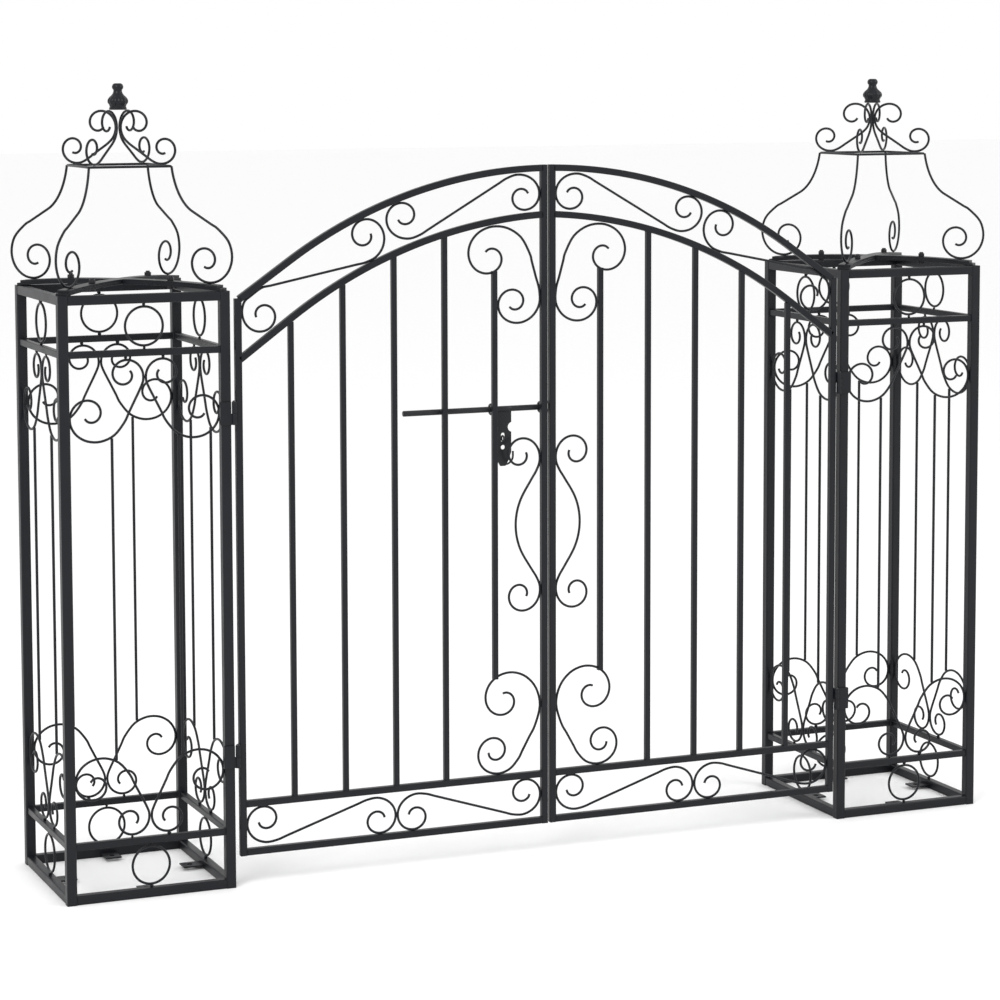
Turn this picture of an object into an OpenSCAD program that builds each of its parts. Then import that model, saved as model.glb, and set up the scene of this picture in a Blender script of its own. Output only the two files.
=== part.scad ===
/* [Pillars] */
// Distance between the centres of the two pillars
pillar_pitch = 1015; // [900:5:1400]
// Width and depth of a pillar
pillar_w = 205; // [180:5:300]
// Height of a pillar's frame, without its crown
frame_h = 708; // [600:10:1200]
// Side of the square tube of the corner posts
post_w = 12; // [10:0.5:20]
// Height and depth of the top and bottom rails
frame_rail = 11; // [8:0.5:16]
// Height and depth of the two inner rails
inner_rail = 8; // [6:0.5:12]
// Clear height of the band that holds the rings
ring_band = 53; // [40:1:80]
// Wall of every square tube
tube_wall = 1; // [0.8:0.1:2]

/* [Wire work] */
// Thickness of the scroll and ring wire
wire = 3; // [2:0.5:5]
// Diameter of the long rods between the pillar scrolls
rod_d = 3.5; // [3:0.5:6]
// Distance of a long rod from the middle of its pillar side
rod_x = 40; // [25:1:60]
// Height of a weld stub between a wire and a rail
stub_h = 2.5; // [1.5:0.5:5]
// Width of a weld stub
stub_w = 5; // [3:0.5:8]
// Height of one pillar C scroll
pillar_scroll_h = 96; // [70:1:160]

/* [Crown] */
// Width of the flat bars of both crosses
cross_w = 16; // [12:1:24]
// Thickness of the flat bars of both crosses
cross_t = 3; // [2:0.5:5]
// Rise of the crosses at their middle
cross_rise = 5; // [2:0.5:10]
// Distance of a crown bolt from the pillar's middle
bolt_r = 67; // [40:1:90]
// Diameter of a crown bolt
bolt_d = 5; // [4:0.5:8]
// Half width of the square crown ring, to the wire's middle
crown_ring_half = 49.5; // [40:1:70]
// Height of the crown legs, from the cross to the ring
leg_h = 135; // [100:1:200]
// How far the legs stand out past the pillar's corner, along the diagonal
leg_out = 4.5; // [3:0.5:12]
// Height of the upper crown scrolls
crown_scroll_h = 64; // [45:1:90]
// Height of the finial
finial_h = 31; // [25:1:60]
// Largest diameter of the finial
finial_d = 25; // [18:1:40]

/* [Leaves] */
// Side of the square tube of the leaf frames
leaf_tube = 8; // [6:0.5:12]
// Side of the square tube of the bars
bar_w = 6.5; // [5:0.5:8]
// Number of bars in one leaf
bar_count = 5; // [3:1:7]
// Gap between a post and its leaf
hinge_gap = 6; // [5:0.5:12]
// Gap between the two leaves
meeting_gap = 3; // [2:0.5:6]
// Height of the leaf's lower edge above the ground
leaf_clear = 37; // [20:1:80]
// Height of the leaf's top at the middle of the gate
leaf_top = 848; // [700:1:1400]
// Radius of the arch's round part, at its upper edge
arch_r = 586; // [500:2:900]
// Half width of the arch's round part
arch_half = 333; // [200:1:350]
// Height from one arch to the other at the middle of the gate
arch_band = 56; // [45:1:80]
// Height from one arch to the other at the hinge stile
arch_band_side = 71; // [55:1:95]
// Clear height of the scroll band over the bottom rail
base_band = 50; // [35:1:70]
// Height of the middle of the handle scroll
handle_z = 410; // [300:5:600]
// Height of the handle scroll
handle_h = 215; // [150:1:300]
// Reach of the handle scroll from the meeting stile
handle_w = 44; // [30:1:60]

/* [Hinges] */
// Height of a hinge
hinge_h = 27; // [20:1:40]
// Middle of the upper hinge above the ground
hinge_top_z = 565; // [400:1:600]
// Middle of the lower hinge above the ground
hinge_low_z = 158; // [120:1:250]
// Diameter of a hinge pin
pin_d = 3.2; // [3:0.1:5]
// Diameter of a hinge knuckle
knuckle_d = 6; // [5:0.5:10]
// Thickness of the hinge plates
hinge_plate = 2; // [1.5:0.5:3]

/* [Latch] */
// Height of the slide rod
latch_z = 552; // [400:1:640]
// Diameter of the slide rod
latch_d = 7; // [6:0.5:10]
// Length of the slide rod
latch_len = 184; // [150:1:200]
// Travel of the slide rod from open to locked
latch_travel = 22; // [8:1:26]
// Clearance round the slide rod in its guide rings
latch_fit = 0.8; // [0.3:0.1:1.5]
// Width of the hasp plate
hasp_w = 22; // [16:1:28]
// Length of the hasp plate below the rod
hasp_h = 70; // [50:1:90]

/* [Anchors] */
// Width of an anchor tab
tab_w = 20; // [14:1:30]
// Length of an anchor tab
tab_len = 25; // [18:1:40]
// Diameter of the hole in an anchor tab
tab_hole = 7; // [5:0.5:10]

/* [Hidden] */

coat = "#26282b";
half = pillar_w/2;
inner = half - post_w;
front = -half;
// Rails, rings, scrolls and rods all lie in the middle of the posts
side_y = half - post_w/2;
low_rail_z = frame_rail + ring_band;
high_rail_z = frame_h - frame_rail - ring_band - inner_rail;
mid_z = (low_rail_z + inner_rail + high_rail_z)/2;

// Crosses and bolts
top_arm = sqrt(2)*side_y;
crown_arm = sqrt(2)*inner + 4;
bolt_clear = 0.2;
nut_w = 8.5;
nut_h = 4;
head_w = 8.5;
head_h = 3.3;

// Leaf, drawn for the leaf on the +X side and mirrored for the other
leaf_x0 = meeting_gap/2;
leaf_x1 = pillar_pitch/2 - half - hinge_gap;
stile_x0 = leaf_x0 + leaf_tube;
stile_x1 = leaf_x1 - leaf_tube;
stile_mid = leaf_x0 + leaf_tube/2;
leaf_mid = (stile_x0 + stile_x1)/2;
leaf_y = front + leaf_tube/2;
leaf_back = front + leaf_tube;
bar_pitch = (leaf_x1 - leaf_x0 - leaf_tube)/(bar_count + 1);
first_bar = stile_mid + bar_pitch;
mid_rail_z = leaf_clear + leaf_tube + base_band;
// Clearance between an arch scroll and the arches
arch_fit = 0.15;

// Hinges, with their axis in front of the gap
post_x = leaf_x1 + hinge_gap;
axis_x = leaf_x1 + hinge_gap/2;
axis_y = front - 1.8;
pin_fit = 0.05;
press_fit = 0.02;
knuckle_gap = 0.3;
strap_side = 0.8;
strap_lip = 3;
leaf_tab = 2;

// Latch, behind the leaves
guide_r = latch_d/2 + latch_fit + wire/2;
latch_y = leaf_back + guide_r + wire/2;
latch_tip = -leaf_x0 + 0.5;
journal_d = latch_d - 2.6;
journal_fit = 0.05;
journal_side = 0.15;
hasp_t = 2;
hasp_side = 3;
hasp_x = -first_bar + wire/2 + hasp_side + hasp_w/2;
slot_z = -35;
slot_w = 5;
slot_h = 11.5;
eye_r = 3.4;
eye_wire = 2;

// Anchor tabs, on the inner side of the bottom rails
tab_t = 2;
tab_z = 3.5;
tab_y = side_y - frame_rail/2;
tab_hole_y = tab_y - tab_len + 10;

// ---- Curves -------------------------------------------------------------

// Points of a wire that runs straight, then curls with a shrinking radius
function arm(p, h, run, r0, r1, turn, steps) =
    let (s = sign(turn), da = turn/steps, q = p + run*[cos(h), sin(h)])
    [for (i = 0, c = q, a = h; i <= steps;
        c = c + 2*r0*pow(r1/r0, (i + 0.5)/steps)*sin(s*da/2)*[cos(a + da/2), sin(a + da/2)],
        a = a + da, i = i + 1) c];

function flip(v) = [for (i = [len(v) - 1:-1:0]) v[i]];

// A wire with a curl at each end; each end is [run, first radius, last radius, turn]
function scroll(h, up, down, steps = 18) =
    concat(flip(arm([0, 0], h + 180, down[0], down[1], down[2], down[3], steps)),
        arm([0, 0], h, up[0], up[1], up[2], up[3], steps));

function lows(v, k) = min([for (p = v) p[k]]);
function highs(v, k) = max([for (p = v) p[k]]);

// Stretches a wire's middle line so that the wire fills the box [x0, x1, z0, z1]
function fitted(v, box) =
    let (g = wire/2, x = lows(v, 0), z = lows(v, 1),
        kx = (box[1] - box[0] - wire)/(highs(v, 0) - x),
        kz = (box[3] - box[2] - wire)/(highs(v, 1) - z))
    [for (p = v) [box[0] + g + kx*(p[0] - x), box[2] + g + kz*(p[1] - z)]];

// Normal of a path at point i, to the left of its way
function normal(v, i) =
    let (a = v[max(i - 1, 0)], b = v[min(i + 1, len(v) - 1)], d = b - a)
    [-d[1], d[0]]/norm(d);

// Both edges of a path of thickness t
function outline(v, t) =
    concat([for (i = [0:len(v) - 1]) v[i] + t/2*normal(v, i)],
        [for (i = [len(v) - 1:-1:0]) v[i] - t/2*normal(v, i)]);

// Heights at which a path crosses the upright line at x
function crossings(v, x) =
    [for (i = [0:len(v) - 2]) let (a = v[i], b = v[i + 1])
        if ((a[0] - x)*(b[0] - x) <= 0 && a[0] != b[0])
            a[1] + (b[1] - a[1])*(x - a[0])/(b[0] - a[0])];

// Upper edge of the upper arch at a distance x from the gate's middle
function arch_z(x) =
    let (c = min(abs(x), arch_half), a = asin(c/arch_r))
    leaf_top - arch_r*(1 - cos(a)) - tan(a)*(abs(x) - c);

// Upper edge of an arch; the lower one drops away from the upper towards the hinges
function tube_top(x, lower) =
    arch_z(x) - (lower ? arch_band + (arch_band_side - arch_band)*abs(x)/leaf_x1 : 0);

// Underside of the same arch
function under_arch(x, lower) =
    tube_top(x, lower) - leaf_tube/cos(asin(min(x, arch_half)/arch_r));

// Presses a wire's middle line flat where the wire would run into an arch
function between_arches(v) =
    [for (p = v)
        let (g = wire/2/cos(asin(min(p[0], arch_half)/arch_r)) + arch_fit)
        [p[0], min(max(p[1], tube_top(p[0], true) + g), under_arch(p[0], false) - g)]];

// Heights of both edges of a wire over the width w about x
function edges_over(v, x, w) =
    [for (k = [-0.5:0.125:0.5]) each crossings(outline(v, wire), x + k*w)];

// ---- Basic pieces -------------------------------------------------------

// A flat wire drawn in X and Z, centred on y
module wire_xz(v, y = 0, t = wire) {
    translate([0, y + t/2, 0])
        rotate([90, 0, 0])
            linear_extrude(t) polygon(outline(v, t));
}

module block(x0, x1, y0, y1, z0, z1) {
    translate([x0, y0, z0]) cube([x1 - x0, y1 - y0, z1 - z0]);
}

// A square tube along Z, with both ends open
module tube_z(x, y, w, z0, z1) {
    translate([x, y, z0])
        linear_extrude(z1 - z0)
            difference() {
                square(w, center = true);
                square(w - 2*tube_wall, center = true);
            }
}

// A square tube along X, with both ends open
module tube_x(x0, x1, y, z, w) {
    translate([x0, y, z])
        rotate([90, 0, 90])
            linear_extrude(x1 - x0)
                difference() {
                    square(w, center = true);
                    square(w - 2*tube_wall, center = true);
                }
}

// A wire ring whose axis runs along Y
module ring_y(x, y, z, r) {
    translate([x, y, z])
        rotate([90, 0, 0])
            rotate_extrude($fn = 48)
                translate([r, 0]) circle(d = wire, $fn = 16);
}

// A wire ring whose axis runs along X
module ring_x(x, y, z, r) {
    translate([x, y, z])
        rotate([0, 90, 0])
            rotate_extrude($fn = 48)
                translate([r, 0]) circle(d = wire, $fn = 16);
}

module stub(x, y, z0, z1) {
    block(x - stub_w/2, x + stub_w/2, y - wire/2, y + wire/2, z0, z1);
}

// Places children on the pillar on one side of the gate
module pillar(side) {
    translate([side*pillar_pitch/2, 0, 0]) children();
}

// Repeats children on the four sides of a pillar
module four_sides() {
    for (a = [0:90:270]) rotate(a) children();
}

// Repeats children on the four diagonals of a pillar
module four_corners() {
    for (a = [0:90:270]) rotate(a + 45) children();
}

// Draws children for the +X leaf, or mirrored for the other
module leaf(side) {
    mirror([side < 0 ? 1 : 0, 0, 0]) children();
}

// ---- Pillar -------------------------------------------------------------

module posts(side) {
    color(coat) pillar(side)
        for (x = [-1, 1], y = [-1, 1])
            tube_z(x*side_y, y*side_y, post_w, 0, frame_h);
}

module frame_rails(side) {
    color(coat) pillar(side) four_sides()
        for (z = [frame_rail/2, frame_h - frame_rail/2])
            tube_x(-inner, inner, -side_y, z, frame_rail);
}

module inner_rails(side) {
    color(coat) pillar(side) four_sides()
        for (z = [low_rail_z, high_rail_z])
            tube_x(-inner, inner, -side_y, z + inner_rail/2, inner_rail);
}

module rings(side) {
    r = ring_band/2 - stub_h - wire/2;
    color(coat) pillar(side) four_sides()
        for (z = [frame_rail, frame_h - frame_rail - ring_band]) {
            ring_y(0, -side_y, z + ring_band/2, r);
            stub(0, -side_y, z, z + stub_h + wire/2);
            stub(0, -side_y, z + ring_band - stub_h - wire/2, z + ring_band);
        }
}

// Half of a pair of C scrolls: a small curl under the rail, a large one against the post
pillar_scroll = fitted(
    scroll(64, [12, 24, 8, 430], [35, 42, 7.5, -489]),
    [-inner, 0, high_rail_z - stub_h - pillar_scroll_h, high_rail_z - stub_h]);

module pillar_scroll_pair() {
    top = [for (p = pillar_scroll) if (p[1] == highs(pillar_scroll, 1)) p][0];
    for (m = [0, 1]) mirror([m, 0, 0]) {
        wire_xz(pillar_scroll, -side_y);
        stub(top[0], -side_y, high_rail_z - stub_h - wire/2, high_rail_z);
    }
}

module scrolls(side) {
    color(coat) pillar(side) four_sides() {
        pillar_scroll_pair();
        translate([0, 0, 2*mid_z]) mirror([0, 0, 1]) pillar_scroll_pair();
    }
}

module rods(side) {
    z = min(edges_over(pillar_scroll, -rod_x, rod_d));
    color(coat) pillar(side) four_sides()
        for (x = [-rod_x, rod_x])
            translate([x, -side_y, 2*mid_z - z])
                cylinder(h = 2*(z - mid_z), d = rod_d, $fn = 24);
}

module anchor_tabs(side) {
    color(coat) pillar(side) four_sides()
        difference() {
            block(-tab_w/2, tab_w/2, -tab_y, -tab_y + tab_len, tab_z, tab_z + tab_t);
            translate([0, -tab_hole_y, tab_z - 1])
                cylinder(h = tab_t + 2, d = tab_hole, $fn = 32);
        }
}

// ---- Crown --------------------------------------------------------------

// Rise of both crosses, which share their bends so that they nest
cross_bends = 6;
cross_line = [for (i = [0:cross_bends])
    [cross_w + i*(top_arm - cross_w)/cross_bends, cross_rise*(1 - pow(i/cross_bends, 2))]];

// Rise of the crosses at a distance r from the pillar's middle
function rise(r) = lookup(r, cross_line);

// One flat cross bar from the middle out to r1, whose end rests at height z
module cross_arm(r1, z) {
    reach = concat([0], [for (p = cross_line) if (p[0] < r1) p[0]], [r1]);
    line = [for (r = reach) [r, z + rise(r)]];
    translate([0, cross_w/2, 0])
        rotate([90, 0, 0])
            linear_extrude(cross_w)
                polygon(concat(line, flip([for (p = line) p + [0, cross_t]])));
}

module cross_bars(r1, z) {
    difference() {
        four_corners() cross_arm(r1, z);
        four_corners()
            translate([bolt_r, 0, z - 1])
                cylinder(h = cross_t + cross_rise + 2, d = bolt_d + 2*bolt_clear, $fn = 32);
    }
}

module top_cross(side) {
    color(coat) pillar(side) cross_bars(top_arm, frame_h);
}

module crown_cross(side) {
    color(coat) pillar(side) cross_bars(crown_arm, frame_h + cross_t);
}

crown_corner = sqrt(2)*crown_ring_half;
// How much the slant takes off the leg's upper end
leg_cut = 0.15;
leg_reach = sqrt(2)*half + leg_out;
foot_in = 31;
leg_foot = leg_reach - foot_in;
leg_z = frame_h + 2*cross_t + rise(leg_foot);
ring_z = leg_z + leg_h;

// A leg: down from the ring's corner, out, and into a curl that stands on the cross
crown_leg = fitted(
    scroll(-31, [20, 42.7, 8.1, -541.5], [20, 28, 140, -51]),
    [crown_corner - wire/2, leg_reach, leg_z, ring_z + wire/2 - leg_cut]);

module crown_legs(side) {
    color(coat) pillar(side) four_corners() wire_xz(crown_leg);
}

module crown_ring(side) {
    h = crown_ring_half + wire/2;
    color(coat) pillar(side) four_sides()
        block(-h, h - wire, -h, -h + wire, ring_z, ring_z + wire);
}

// A curl on the ring's corner that sweeps in and up to the finial
crown_scroll = fitted(
    scroll(144, [2.5, 28.5, 7.4, -392], [34.5, 23, 6.8, 423]),
    [wire/2 + 0.7, crown_corner + 6.5, ring_z + wire, ring_z + wire + crown_scroll_h]);

module crown_scrolls(side) {
    color(coat) pillar(side) four_corners() wire_xz(crown_scroll);
}

module finial(side) {
    r = finial_d/2;
    h = finial_h;
    color(coat) pillar(side) translate([0, 0, ring_z + wire + crown_scroll_h])
        rotate_extrude($fn = 64)
            polygon([[0, 0], [0.8*r, 0], [0.84*r, 0.05*h], [0.76*r, 0.12*h], [0.84*r, 0.2*h],
                [0.97*r, 0.26*h], [r, 0.34*h], [0.93*r, 0.42*h], [0.78*r, 0.49*h],
                [0.58*r, 0.56*h], [0.47*r, 0.62*h], [0.4*r, 0.7*h], [0.42*r, 0.76*h],
                [0.52*r, 0.81*h], [0.54*r, 0.88*h], [0.46*r, 0.96*h], [0.3*r, h], [0, h]]);
}

// Repeats children at each crown bolt, at height z
module bolt_places(z) {
    for (side = [-1, 1])
        pillar(side) four_corners() translate([bolt_r, 0, z]) children();
}

module crown_bolts() {
    z = frame_h + rise(bolt_r + head_w/2);
    color("silver") bolt_places(z) {
        translate([0, 0, -head_h]) cylinder(h = head_h, d = head_w, $fn = 6);
        cylinder(h = 2*cross_t + nut_h + 2, d = bolt_d, $fn = 32);
    }
}

module crown_nuts() {
    z = frame_h + 2*cross_t + rise(bolt_r - nut_w/2);
    color("silver") bolt_places(z)
        difference() {
            cylinder(h = nut_h, d = nut_w, $fn = 6);
            translate([0, 0, -1]) cylinder(h = nut_h + 2, d = bolt_d + 0.1, $fn = 32);
        }
}

// ---- Hinges -------------------------------------------------------------

// Repeats children at the middle of both hinges of a leaf
module hinge_places(side) {
    leaf(side)
        for (z = [hinge_low_z, hinge_top_z]) translate([axis_x, axis_y, z]) children();
}

// Strap on the post's front, with a lip round its edge and the lower knuckle
module hinge_straps(side) {
    x0 = post_x - axis_x;
    y1 = front - axis_y;
    h = hinge_h/2;
    color(coat) hinge_places(side)
        difference() {
            union() {
                block(x0 + strap_side, x0 + post_w + 2, y1 - hinge_plate, y1, -h, h);
                block(x0 + post_w, x0 + post_w + 2, y1 - hinge_plate, y1 + strap_lip, -h, h);
                block(0, x0 + strap_side, y1 - hinge_plate, y1, -h, -knuckle_gap/2);
                translate([0, 0, -h]) cylinder(h = h - knuckle_gap/2, d = knuckle_d, $fn = 48);
            }
            translate([0, 0, -h - 1]) cylinder(h = h + 1, d = pin_d + 2*press_fit, $fn = 48);
        }
}

module hinge_pins(side) {
    color("silver") hinge_places(side) {
        translate([0, 0, -hinge_h/2]) cylinder(h = hinge_h + 0.2, d = pin_d, $fn = 48);
        translate([0, 0, hinge_h/2 + 0.2])
            cylinder(h = 1.4, d1 = knuckle_d - 1, d2 = pin_d, $fn = 48);
    }
}

// The leaf's half of a hinge: the upper knuckle, on a tab against the stile's side
module knuckles(side) {
    h = hinge_h/2;
    x = leaf_x1 - axis_x;
    color(coat) hinge_places(side)
        difference() {
            union() {
                translate([0, 0, knuckle_gap/2])
                    cylinder(h = h - knuckle_gap/2, d = knuckle_d, $fn = 48);
                block(x, x + leaf_tab, 0, leaf_back - axis_y - 1, knuckle_gap/2, h);
            }
            cylinder(h = h + 1, r = pin_d/2 + pin_fit, $fn = 48);
        }
}

// ---- Leaf ---------------------------------------------------------------

module hinge_stile(side) {
    color(coat) leaf(side)
        tube_z(leaf_x1 - leaf_tube/2, leaf_y, leaf_tube, leaf_clear, arch_z(leaf_x1));
}

module meeting_stile(side) {
    color(coat) leaf(side)
        tube_z(stile_mid, leaf_y, leaf_tube, leaf_clear, arch_z(leaf_x0));
}

// A bent tube between the stiles
module arch(lower) {
    steps = 20;
    xs = [for (i = [0:steps]) stile_x0 + i*(stile_x1 - stile_x0)/steps];
    translate([0, leaf_back, 0])
        rotate([90, 0, 0])
            linear_extrude(leaf_tube)
                polygon(concat([for (x = xs) [x, tube_top(x, lower)]],
                    flip([for (x = xs) [x, under_arch(x, lower)]])));
}

module top_arch(side) {
    color(coat) leaf(side) arch(false);
}

module lower_arch(side) {
    color(coat) leaf(side) arch(true);
}

module leaf_rails(side) {
    color(coat) leaf(side)
        for (z = [leaf_clear, mid_rail_z])
            tube_x(stile_x0, stile_x1, leaf_y, z + leaf_tube/2, leaf_tube);
}

// C scrolls by the meeting stile, above and below the short bar
corner_w = first_bar + 35;
corner_top_z = under_arch(first_bar, true) - 1;
corner_top_h = 120;
corner_low_h = 127;
top_corner = fitted(
    scroll(-105, [6, 37, 8.4, 518], [42, 53, 9.3, -488]),
    [stile_x0, corner_w, corner_top_z - corner_top_h, corner_top_z]);
low_corner = fitted(
    scroll(-61, [40, 34, 8.4, 513], [6, 55, 9.1, -502]),
    [stile_x0, corner_w - 11, mid_rail_z + leaf_tube, mid_rail_z + leaf_tube + corner_low_h]);

module corner_scrolls(side) {
    color(coat) leaf(side) {
        wire_xz(top_corner, leaf_y);
        wire_xz(low_corner, leaf_y);
    }
}

module bars(side) {
    top = min([for (z = edges_over(top_corner, first_bar, bar_w))
        if (z > corner_top_z - corner_top_h/2) z]);
    foot = max(edges_over(low_corner, first_bar, bar_w));
    color(coat) leaf(side)
        for (i = [1:bar_count]) {
            x = stile_mid + i*bar_pitch;
            tube_z(x, leaf_y, bar_w, i == 1 ? foot : mid_rail_z + leaf_tube,
                i == 1 ? top : under_arch(x + bar_w/2, true));
        }
}

// Two S scrolls end to end between the arches
module arch_scrolls(side) {
    split = leaf_mid + 10;
    curl = 21;
    outer_low = tube_top(stile_x1 - curl, true) + 9;
    outer_high = under_arch(split + curl, false) - 3.5;
    inner_low = tube_top(split - curl, true) + 8;
    inner_high = under_arch(stile_x0 + curl, false) - 1.5;
    outer = fitted(scroll(168.5, [64.5, 32, 8.4, -463], [64.5, 32, 8.4, -463]),
        [split, stile_x1, outer_low, outer_high]);
    near = fitted(scroll(148, [65, 32, 8.5, 460], [65, 32, 8.5, 460]),
        [stile_x0, split, inner_low, inner_high]);
    color(coat) leaf(side) {
        wire_xz(between_arches(outer), leaf_y);
        wire_xz(between_arches(near), leaf_y);
    }
}

// Two mirrored S scrolls that fill the band over the bottom rail
module base_scrolls(side) {
    s = fitted(scroll(161, [59, 30.5, 8.5, 461], [59, 30.5, 8.5, 461]),
        [leaf_mid, stile_x1, leaf_clear + leaf_tube, mid_rail_z]);
    color(coat) leaf(side) {
        wire_xz(s, leaf_y);
        translate([2*leaf_mid, 0, 0]) mirror([1, 0, 0]) wire_xz(s, leaf_y);
    }
}

// A lyre-shaped scroll beside the meeting stile, to hold the leaf by
module handle_scroll(side) {
    bend = arm([0, 0], 90, 0, 75, 75, 33, 4);
    reach = concat(bend, arm(bend[len(bend) - 1], 123, 29, 30, 8.5, -422, 20));
    line = concat(flip([for (p = reach) [p[0], -p[1]]]), [for (i = [1:len(reach) - 1]) reach[i]]);
    color(coat) leaf(side)
        wire_xz(fitted(line, [stile_x0, stile_x0 + handle_w,
            handle_z - handle_h/2, handle_z + handle_h/2]), leaf_y);
}

// ---- Latch --------------------------------------------------------------

// A wire ring behind the leaf at x, with a foot that reaches the tube at back
module latch_ring(x, back) {
    ring_x(x, latch_y, latch_z, guide_r);
    block(x - wire/2, x + wire/2, back, latch_y - guide_r, latch_z - 2, latch_z + 2);
}

module guide_rings() {
    color(coat) {
        latch_ring(-stile_mid, leaf_back);
        latch_ring(-first_bar, leaf_y + bar_w/2);
    }
}

module keeper_ring() {
    color(coat) latch_ring(stile_mid, leaf_back);
}

// The rod, turned down where the hasp's sleeve sits round it
module slide_rod() {
    r = latch_d/2;
    x0 = latch_tip - latch_len;
    xa = hasp_x - hasp_w/2 - journal_side;
    xb = hasp_x + hasp_w/2 + journal_side;
    color(coat) translate([0, latch_y, latch_z])
        rotate([90, 0, 90])
            rotate_extrude($fn = 48)
                polygon([[0, x0], [r - 1, x0], [r, x0 + 1], [r, xa], [journal_d/2, xa],
                    [journal_d/2, xb], [r, xb], [r, latch_tip - 1], [r - 1, latch_tip],
                    [0, latch_tip]]);
}

// A flat plate with a waist, a slot and a hole, hanging from a sleeve on the rod
module hasp() {
    w = hasp_w/2;
    slot_half = (slot_h - slot_w)/2;
    color(coat) translate([hasp_x, latch_y, latch_z])
        difference() {
            union() {
                translate([0, hasp_t/2, 0])
                    rotate([90, 0, 0])
                        linear_extrude(hasp_t)
                            difference() {
                                polygon([[-w, 0], [w, 0], [w, -hasp_h + 17],
                                    [0.68*w, -hasp_h + 7], [0.3*w, -hasp_h],
                                    [-0.3*w, -hasp_h], [-0.68*w, -hasp_h + 7],
                                    [-w, -hasp_h + 17]]);
                                for (x = [-1, 1])
                                    translate([x*(w + 1.5), slot_z + 12.5])
                                        circle(r = 6, $fn = 40);
                                for (z = [-slot_half, slot_half])
                                    translate([0, slot_z + z]) circle(d = slot_w, $fn = 24);
                                translate([-slot_w/2, slot_z - slot_half])
                                    square([slot_w, 2*slot_half]);
                                translate([0, slot_z - 12]) circle(d = 5.5, $fn = 32);
                            }
                translate([-w, 0, 0]) rotate([0, 90, 0]) cylinder(h = hasp_w, d = latch_d, $fn = 48);
            }
            translate([-w - 1, 0, 0])
                rotate([0, 90, 0])
                    cylinder(h = hasp_w + 2, r = journal_d/2 + journal_fit, $fn = 48);
        }
}

// A bent finger from the hasp's foot, to hook the fingers on
module hasp_hook() {
    line = arm([hasp_x + 2, latch_z - hasp_h + 1], 8, 3, 12, 9, 82, 6);
    tip = line[len(line) - 1];
    color(coat) wire_xz(concat(line, [tip + [0, 6]]), latch_y + hasp_t/2 + 1, 2);
}

// A loop of wire through the hasp's slot, for a padlock
module lock_eye() {
    z = slot_z - slot_h/2 + eye_wire/2 + eye_r;
    color(coat) translate([hasp_x, latch_y, latch_z + z])
        rotate([0, 90, 0])
            rotate_extrude($fn = 40)
                translate([eye_r, 0]) circle(d = eye_wire, $fn = 16);
}

posts(-1);  // left_posts
frame_rails(-1);  // left_frame_rails
inner_rails(-1);  // left_inner_rails
rings(-1);  // left_rings
scrolls(-1);  // left_scrolls
rods(-1);  // left_rods
anchor_tabs(-1);  // left_anchor_tabs
top_cross(-1);  // left_top_cross
crown_cross(-1);  // left_crown_cross
crown_legs(-1);  // left_crown_legs
crown_ring(-1);  // left_crown_ring
crown_scrolls(-1);  // left_crown_scrolls
finial(-1);  // left_finial
hinge_straps(-1);  // left_hinge_straps
hinge_pins(-1);  // left_hinge_pins
posts(1);  // right_posts
frame_rails(1);  // right_frame_rails
inner_rails(1);  // right_inner_rails
rings(1);  // right_rings
scrolls(1);  // right_scrolls
rods(1);  // right_rods
anchor_tabs(1);  // right_anchor_tabs
top_cross(1);  // right_top_cross
crown_cross(1);  // right_crown_cross
crown_legs(1);  // right_crown_legs
crown_ring(1);  // right_crown_ring
crown_scrolls(1);  // right_crown_scrolls
finial(1);  // right_finial
hinge_straps(1);  // right_hinge_straps
hinge_pins(1);  // right_hinge_pins
crown_bolts();
crown_nuts();
hinge_stile(-1);  // left_hinge_stile
meeting_stile(-1);  // left_meeting_stile
top_arch(-1);  // left_top_arch
lower_arch(-1);  // left_lower_arch
leaf_rails(-1);  // left_leaf_rails
bars(-1);  // left_bars
arch_scrolls(-1);  // left_arch_scrolls
base_scrolls(-1);  // left_base_scrolls
corner_scrolls(-1);  // left_corner_scrolls
handle_scroll(-1);  // left_handle_scroll
knuckles(-1);  // left_knuckles
hinge_stile(1);  // right_hinge_stile
meeting_stile(1);  // right_meeting_stile
top_arch(1);  // right_top_arch
lower_arch(1);  // right_lower_arch
leaf_rails(1);  // right_leaf_rails
bars(1);  // right_bars
arch_scrolls(1);  // right_arch_scrolls
base_scrolls(1);  // right_base_scrolls
corner_scrolls(1);  // right_corner_scrolls
handle_scroll(1);  // right_handle_scroll
knuckles(1);  // right_knuckles
guide_rings();
keeper_ring();
slide_rod();
hasp();
hasp_hook();
lock_eye();
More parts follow.
